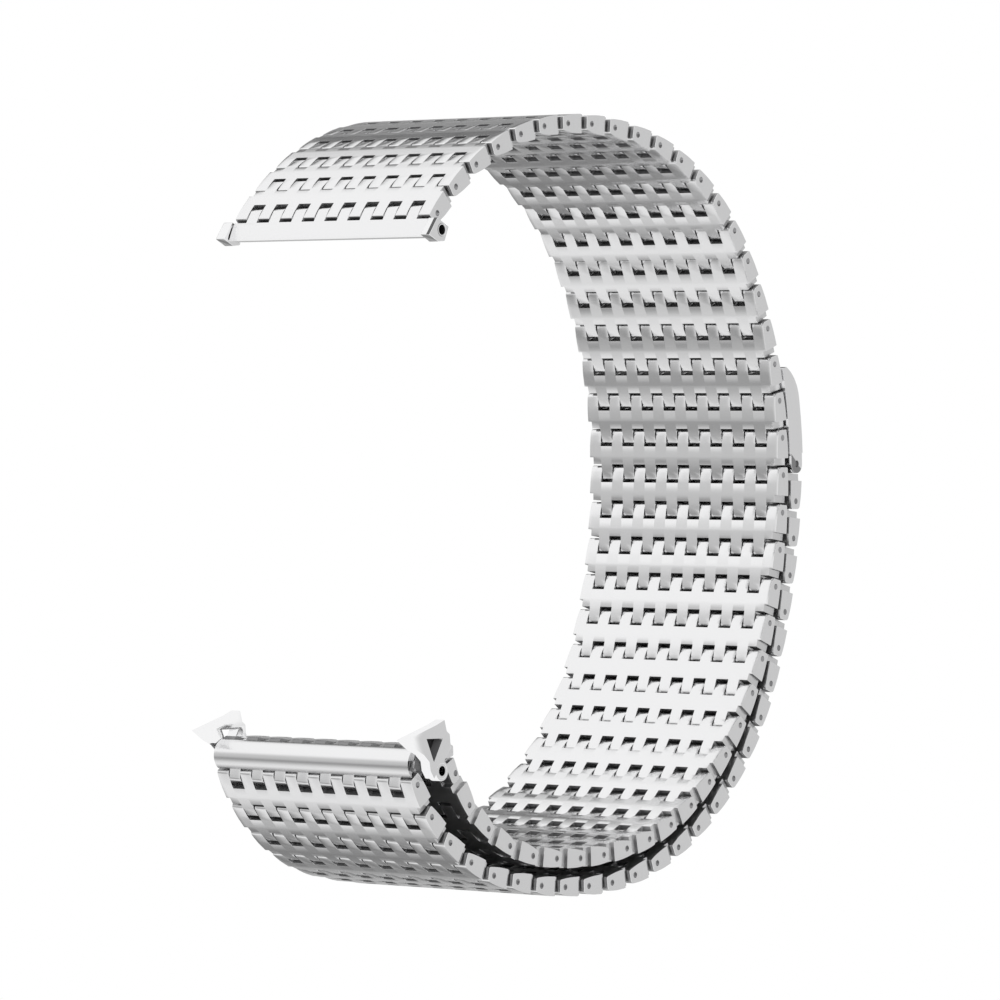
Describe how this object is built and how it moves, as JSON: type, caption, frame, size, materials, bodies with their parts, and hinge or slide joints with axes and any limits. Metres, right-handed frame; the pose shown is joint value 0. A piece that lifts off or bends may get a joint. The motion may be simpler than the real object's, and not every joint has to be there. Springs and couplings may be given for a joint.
{
  "type": "magnetic steel watch band",
  "caption": "Steel watch band of small hinged links, closed in a loop and folded back through its lower end piece to a magnetic clasp.",
  "frame": {"origin": "centre of the bounding box in X and Y, on the plane of the lower side plates' outer faces", "axes": "+Z across the band's width, +X from the watch side to the back of the wrist, +Y towards the upper (twelve o'clock) end piece"},
  "size_m": [0.0554, 0.0637, 0.022],
  "materials": {
    "satin_steel": "satin brushed along the band",
    "polished_steel": "polished",
    "clasp_steel": "fine satin",
    "magnet": "plated, hidden inside the clasp"
  },
  "bodies": {
    "wrist_link_01": {"wrist_link_01": "satin_steel"},
    "wrist_link_02": {"wrist_link_02": "satin_steel"},
    "wrist_link_03": {"wrist_link_03": "satin_steel"},
    "wrist_link_04": {"wrist_link_04": "satin_steel"},
    "wrist_link_05": {"wrist_link_05": "satin_steel"},
    "wrist_link_06": {"wrist_link_06": "satin_steel"},
    "wrist_link_07": {"wrist_link_07": "satin_steel"},
    "wrist_link_08": {"wrist_link_08": "satin_steel"},
    "wrist_link_09": {"wrist_link_09": "satin_steel"},
    "wrist_link_10": {"wrist_link_10": "satin_steel"},
    "wrist_link_11": {"wrist_link_11": "satin_steel"},
    "wrist_link_12": {"wrist_link_12": "satin_steel"},
    "wrist_link_13": {"wrist_link_13": "satin_steel"},
    "wrist_link_14": {"wrist_link_14": "satin_steel"},
    "wrist_link_15": {"wrist_link_15": "satin_steel"},
    "wrist_link_16": {"wrist_link_16": "satin_steel"},
    "wrist_link_17": {"wrist_link_17": "satin_steel"},
    "wrist_link_18": {"wrist_link_18": "satin_steel"},
    "wrist_link_19": {"wrist_link_19": "satin_steel"},
    "wrist_links_20_21": {"wrist_links_20_21": "satin_steel"},
    "wrist_links_22_23": {"wrist_links_22_23": "satin_steel"},
    "wrist_links_24_25": {"wrist_links_24_25": "satin_steel"},
    "wrist_links_26_27": {"wrist_links_26_27": "satin_steel"},
    "wrist_links_28_29": {"wrist_links_28_29": "satin_steel"},
    "wrist_links_30_31": {"wrist_links_30_31": "satin_steel"},
    "wrist_links_32_33": {"wrist_links_32_33": "satin_steel"},
    "wrist_links_34_35": {"wrist_links_34_35": "satin_steel"},
    "wrist_links_36_37": {"wrist_links_36_37": "satin_steel"},
    "wrist_links_38_39": {"wrist_links_38_39": "satin_steel"},
    "wrist_links_40_41": {"wrist_links_40_41": "satin_steel"},
    "wrist_links_42_43": {"wrist_links_42_43": "satin_steel"},
    "fold_link_01": {"fold_link_01": "satin_steel"},
    "fold_link_02": {"fold_link_02": "satin_steel"},
    "tail_links_01_02": {"tail_links_01_02": "satin_steel"},
    "tail_links_03_04": {"tail_links_03_04": "satin_steel"},
    "tail_links_05_06": {"tail_links_05_06": "satin_steel"},
    "tail_links_07_08": {"tail_links_07_08": "satin_steel"},
    "tail_links_09_10": {"tail_links_09_10": "satin_steel"},
    "tail_links_11_12": {"tail_links_11_12": "satin_steel"},
    "tail_links_13_14": {"tail_links_13_14": "satin_steel"},
    "tail_link_15": {"tail_link_15": "satin_steel"},
    "tail_link_16": {"tail_link_16": "satin_steel"},
    "tail_link_17": {"tail_link_17": "satin_steel"},
    "tail_link_18": {"tail_link_18": "satin_steel"},
    "tail_link_19": {"tail_link_19": "satin_steel"},
    "tail_link_20": {"tail_link_20": "satin_steel"},
    "tail_link_21": {"tail_link_21": "satin_steel"},
    "tail_link_22": {"tail_link_22": "satin_steel"},
    "tail_link_23": {"tail_link_23": "satin_steel"},
    "tail_link_24": {"tail_link_24": "satin_steel"},
    "upper_end": {"upper_end_body": "satin_steel", "upper_side_plate_low": "polished_steel", "upper_side_plate_high": "polished_steel", "upper_bar_sleeve": "polished_steel"},
    "lower_end": {"lower_side_plate_low": "polished_steel", "lower_side_plate_high": "polished_steel", "lower_rod": "polished_steel"},
    "clasp": {"clasp_shell": "clasp_steel", "clasp_magnets": "magnet", "clasp_back_plate": "satin_steel"}
  },
  "joints": [
    {"name": "hinge_wrist_link_18", "type": "hinge", "parent": "wrist_link_19", "child": "wrist_link_18", "pos_m": [0.02332, 0.01223, 0.011], "axis": [0, 0, 1], "range_deg": [-20, 10]},
    {"name": "hinge_wrist_link_17", "type": "hinge", "parent": "wrist_link_18", "child": "wrist_link_17", "pos_m": [0.02221, 0.01523, 0.011], "axis": [0, 0, 1], "range_deg": [-20, 10]},
    {"name": "hinge_wrist_link_16", "type": "hinge", "parent": "wrist_link_17", "child": "wrist_link_16", "pos_m": [0.02082, 0.01811, 0.011], "axis": [0, 0, 1], "range_deg": [-20, 10]},
    {"name": "hinge_wrist_link_15", "type": "hinge", "parent": "wrist_link_16", "child": "wrist_link_15", "pos_m": [0.01915, 0.02085, 0.011], "axis": [0, 0, 1], "range_deg": [-20, 10]},
    {"name": "hinge_wrist_link_14", "type": "hinge", "parent": "wrist_link_15", "child": "wrist_link_14", "pos_m": [0.01713, 0.02333, 0.011], "axis": [0, 0, 1], "range_deg": [-20, 10]},
    {"name": "hinge_wrist_link_13", "type": "hinge", "parent": "wrist_link_14", "child": "wrist_link_13", "pos_m": [0.0148, 0.02551, 0.011], "axis": [0, 0, 1], "range_deg": [-20, 10]},
    {"name": "hinge_wrist_link_12", "type": "hinge", "parent": "wrist_link_13", "child": "wrist_link_12", "pos_m": [0.01218, 0.02736, 0.011], "axis": [0, 0, 1], "range_deg": [-20, 10]},
    {"name": "hinge_wrist_link_11", "type": "hinge", "parent": "wrist_link_12", "child": "wrist_link_11", "pos_m": [0.00935, 0.02884, 0.011], "axis": [0, 0, 1], "range_deg": [-20, 10]},
    {"name": "hinge_wrist_link_10", "type": "hinge", "parent": "wrist_link_11", "child": "wrist_link_10", "pos_m": [0.00633, 0.02992, 0.011], "axis": [0, 0, 1], "range_deg": [-20, 10]},
    {"name": "hinge_wrist_link_09", "type": "hinge", "parent": "wrist_link_10", "child": "wrist_link_09", "pos_m": [0.0032, 0.03058, 0.011], "axis": [0, 0, 1], "range_deg": [-20, 10]},
    {"name": "hinge_wrist_link_08", "type": "hinge", "parent": "wrist_link_09", "child": "wrist_link_08", "pos_m": [0.00003, 0.03098, 0.011], "axis": [0, 0, 1], "range_deg": [-20, 10]},
    {"name": "hinge_wrist_link_07", "type": "hinge", "parent": "wrist_link_08", "child": "wrist_link_07", "pos_m": [-0.00317, 0.0311, 0.011], "axis": [0, 0, 1], "range_deg": [-20, 10]},
    {"name": "hinge_wrist_link_06", "type": "hinge", "parent": "wrist_link_07", "child": "wrist_link_06", "pos_m": [-0.00637, 0.03095, 0.011], "axis": [0, 0, 1], "range_deg": [-20, 10]},
    {"name": "hinge_wrist_link_05", "type": "hinge", "parent": "wrist_link_06", "child": "wrist_link_05", "pos_m": [-0.00954, 0.03052, 0.011], "axis": [0, 0, 1], "range_deg": [-20, 10]},
    {"name": "hinge_wrist_link_04", "type": "hinge", "parent": "wrist_link_05", "child": "wrist_link_04", "pos_m": [-0.01263, 0.0297, 0.011], "axis": [0, 0, 1], "range_deg": [-20, 10]},
    {"name": "hinge_wrist_link_03", "type": "hinge", "parent": "wrist_link_04", "child": "wrist_link_03", "pos_m": [-0.0156, 0.0285, 0.011], "axis": [0, 0, 1], "range_deg": [-20, 10]},
    {"name": "hinge_wrist_link_02", "type": "hinge", "parent": "wrist_link_03", "child": "wrist_link_02", "pos_m": [-0.01839, 0.02694, 0.011], "axis": [0, 0, 1], "range_deg": [-20, 10]},
    {"name": "hinge_wrist_link_01", "type": "hinge", "parent": "wrist_link_02", "child": "wrist_link_01", "pos_m": [-0.02097, 0.02504, 0.011], "axis": [0, 0, 1], "range_deg": [-20, 10]},
    {"name": "hinge_upper_end", "type": "hinge", "parent": "wrist_link_01", "child": "upper_end", "pos_m": [-0.02328, 0.02283, 0.011], "axis": [0, 0, 1], "range_deg": [-25, 25]},
    {"name": "hinge_wrist_links_20_21", "type": "hinge", "parent": "wrist_link_19", "child": "wrist_links_20_21", "pos_m": [0.02413, 0.00914, 0.011], "axis": [0, 0, 1], "range_deg": [-6, 0]},
    {"name": "hinge_wrist_links_22_23", "type": "hinge", "parent": "wrist_links_20_21", "child": "wrist_links_22_23", "pos_m": [0.02484, 0.00278, 0.011], "axis": [0, 0, 1], "range_deg": [-6, 0]},
    {"name": "hinge_wrist_links_24_25", "type": "hinge", "parent": "wrist_links_22_23", "child": "wrist_links_24_25", "pos_m": [0.02449, -0.0036, 0.011], "axis": [0, 0, 1], "range_deg": [-6, 0]},
    {"name": "hinge_wrist_links_26_27", "type": "hinge", "parent": "wrist_links_24_25", "child": "wrist_links_26_27", "pos_m": [0.02314, -0.00985, 0.011], "axis": [0, 0, 1], "range_deg": [-6, 0]},
    {"name": "hinge_wrist_links_28_29", "type": "hinge", "parent": "wrist_links_26_27", "child": "wrist_links_28_29", "pos_m": [0.02071, -0.01576, 0.011], "axis": [0, 0, 1], "range_deg": [-6, 0]},
    {"name": "hinge_wrist_links_30_31", "type": "hinge", "parent": "wrist_links_28_29", "child": "wrist_links_30_31", "pos_m": [0.01693, -0.02091, 0.011], "axis": [0, 0, 1], "range_deg": [-6, 0]},
    {"name": "hinge_wrist_links_32_33", "type": "hinge", "parent": "wrist_links_30_31", "child": "wrist_links_32_33", "pos_m": [0.01203, -0.02501, 0.011], "axis": [0, 0, 1], "range_deg": [-6, 0]},
    {"name": "hinge_wrist_links_34_35", "type": "hinge", "parent": "wrist_links_32_33", "child": "wrist_links_34_35", "pos_m": [0.00619, -0.0276, 0.011], "axis": [0, 0, 1], "range_deg": [-6, 0]},
    {"name": "hinge_wrist_links_36_37", "type": "hinge", "parent": "wrist_links_34_35", "child": "wrist_links_36_37", "pos_m": [-0.00012, -0.02863, 0.011], "axis": [0, 0, 1], "range_deg": [-6, 0]},
    {"name": "hinge_wrist_links_38_39", "type": "hinge", "parent": "wrist_links_36_37", "child": "wrist_links_38_39", "pos_m": [-0.00651, -0.02868, 0.011], "axis": [0, 0, 1], "range_deg": [-6, 0]},
    {"name": "hinge_wrist_links_40_41", "type": "hinge", "parent": "wrist_links_38_39", "child": "wrist_links_40_41", "pos_m": [-0.01276, -0.0274, 0.011], "axis": [0, 0, 1], "range_deg": [-6, 0]},
    {"name": "hinge_wrist_links_42_43", "type": "hinge", "parent": "wrist_links_40_41", "child": "wrist_links_42_43", "pos_m": [-0.01811, -0.02395, 0.011], "axis": [0, 0, 1], "range_deg": [-6, 0]},
    {"name": "hinge_fold_link_01", "type": "hinge", "parent": "wrist_links_42_43", "child": "fold_link_01", "pos_m": [-0.021, -0.0194, 0.011], "axis": [0, 0, 1], "range_deg": [-60, 0]},
    {"name": "hinge_fold_link_02", "type": "hinge", "parent": "fold_link_01", "child": "fold_link_02", "pos_m": [-0.0242, -0.0196, 0.011], "axis": [0, 0, 1], "range_deg": [-60, 0]},
    {"name": "hinge_tail_links_01_02", "type": "hinge", "parent": "fold_link_02", "child": "tail_links_01_02", "pos_m": [-0.02477, -0.02211, 0.011], "axis": [0, 0, 1], "range_deg": [-14, 0]},
    {"name": "hinge_tail_links_03_04", "type": "hinge", "parent": "tail_links_01_02", "child": "tail_links_03_04", "pos_m": [-0.02051, -0.02684, 0.011], "axis": [0, 0, 1], "range_deg": [-14, 0]},
    {"name": "hinge_tail_links_05_06", "type": "hinge", "parent": "tail_links_03_04", "child": "tail_links_05_06", "pos_m": [-0.01481, -0.02969, 0.011], "axis": [0, 0, 1], "range_deg": [-14, 0]},
    {"name": "hinge_tail_links_07_08", "type": "hinge", "parent": "tail_links_05_06", "child": "tail_links_07_08", "pos_m": [-0.0085, -0.03078, 0.011], "axis": [0, 0, 1], "range_deg": [-14, 0]},
    {"name": "hinge_tail_links_09_10", "type": "hinge", "parent": "tail_links_07_08", "child": "tail_links_09_10", "pos_m": [-0.00211, -0.0311, 0.011], "axis": [0, 0, 1], "range_deg": [-14, 0]},
    {"name": "hinge_tail_links_11_12", "type": "hinge", "parent": "tail_links_09_10", "child": "tail_links_11_12", "pos_m": [0.00425, -0.03047, 0.011], "axis": [0, 0, 1], "range_deg": [-14, 0]},
    {"name": "hinge_tail_links_13_14", "type": "hinge", "parent": "tail_links_11_12", "child": "tail_links_13_14", "pos_m": [0.0103, -0.02843, 0.011], "axis": [0, 0, 1], "range_deg": [-14, 0]},
    {"name": "hinge_tail_link_15", "type": "hinge", "parent": "tail_links_13_14", "child": "tail_link_15", "pos_m": [0.01574, -0.02508, 0.011], "axis": [0, 0, 1], "range_deg": [-14, 0]},
    {"name": "hinge_tail_link_16", "type": "hinge", "parent": "tail_link_15", "child": "tail_link_16", "pos_m": [0.01812, -0.02294, 0.011], "axis": [0, 0, 1], "range_deg": [-14, 0]},
    {"name": "hinge_tail_link_17", "type": "hinge", "parent": "tail_link_16", "child": "tail_link_17", "pos_m": [0.02021, -0.02052, 0.011], "axis": [0, 0, 1], "range_deg": [-14, 0]},
    {"name": "hinge_tail_link_18", "type": "hinge", "parent": "tail_link_17", "child": "tail_link_18", "pos_m": [0.02199, -0.01786, 0.011], "axis": [0, 0, 1], "range_deg": [-14, 0]},
    {"name": "hinge_tail_link_19", "type": "hinge", "parent": "tail_link_18", "child": "tail_link_19", "pos_m": [0.02343, -0.015, 0.011], "axis": [0, 0, 1], "range_deg": [-14, 0]},
    {"name": "hinge_tail_link_20", "type": "hinge", "parent": "tail_link_19", "child": "tail_link_20", "pos_m": [0.02449, -0.01198, 0.011], "axis": [0, 0, 1], "range_deg": [-14, 0]},
    {"name": "hinge_tail_link_21", "type": "hinge", "parent": "tail_link_20", "child": "tail_link_21", "pos_m": [0.02537, -0.0089, 0.011], "axis": [0, 0, 1], "range_deg": [-14, 0]},
    {"name": "hinge_tail_link_22", "type": "hinge", "parent": "tail_link_21", "child": "tail_link_22", "pos_m": [0.02604, -0.00578, 0.011], "axis": [0, 0, 1], "range_deg": [-14, 0]},
    {"name": "hinge_tail_link_23", "type": "hinge", "parent": "tail_link_22", "child": "tail_link_23", "pos_m": [0.0265, -0.00261, 0.011], "axis": [0, 0, 1], "range_deg": [-14, 0]},
    {"name": "hinge_tail_link_24", "type": "hinge", "parent": "tail_link_23", "child": "tail_link_24", "pos_m": [0.02676, 0.00058, 0.011], "axis": [0, 0, 1], "range_deg": [-14, 0]},
    {"name": "hinge_clasp", "type": "hinge", "parent": "tail_link_24", "child": "clasp", "pos_m": [0.02682, 0.00378, 0.011], "axis": [0, 0, 1], "range_deg": [-70, 0]},
    {"name": "turn_lower_end", "type": "hinge", "parent": "fold_link_01", "child": "lower_end", "pos_m": [-0.02297, -0.02104, 0.011], "axis": [0, 0, 1], "range_deg": [-15, 15]}
  ]
}
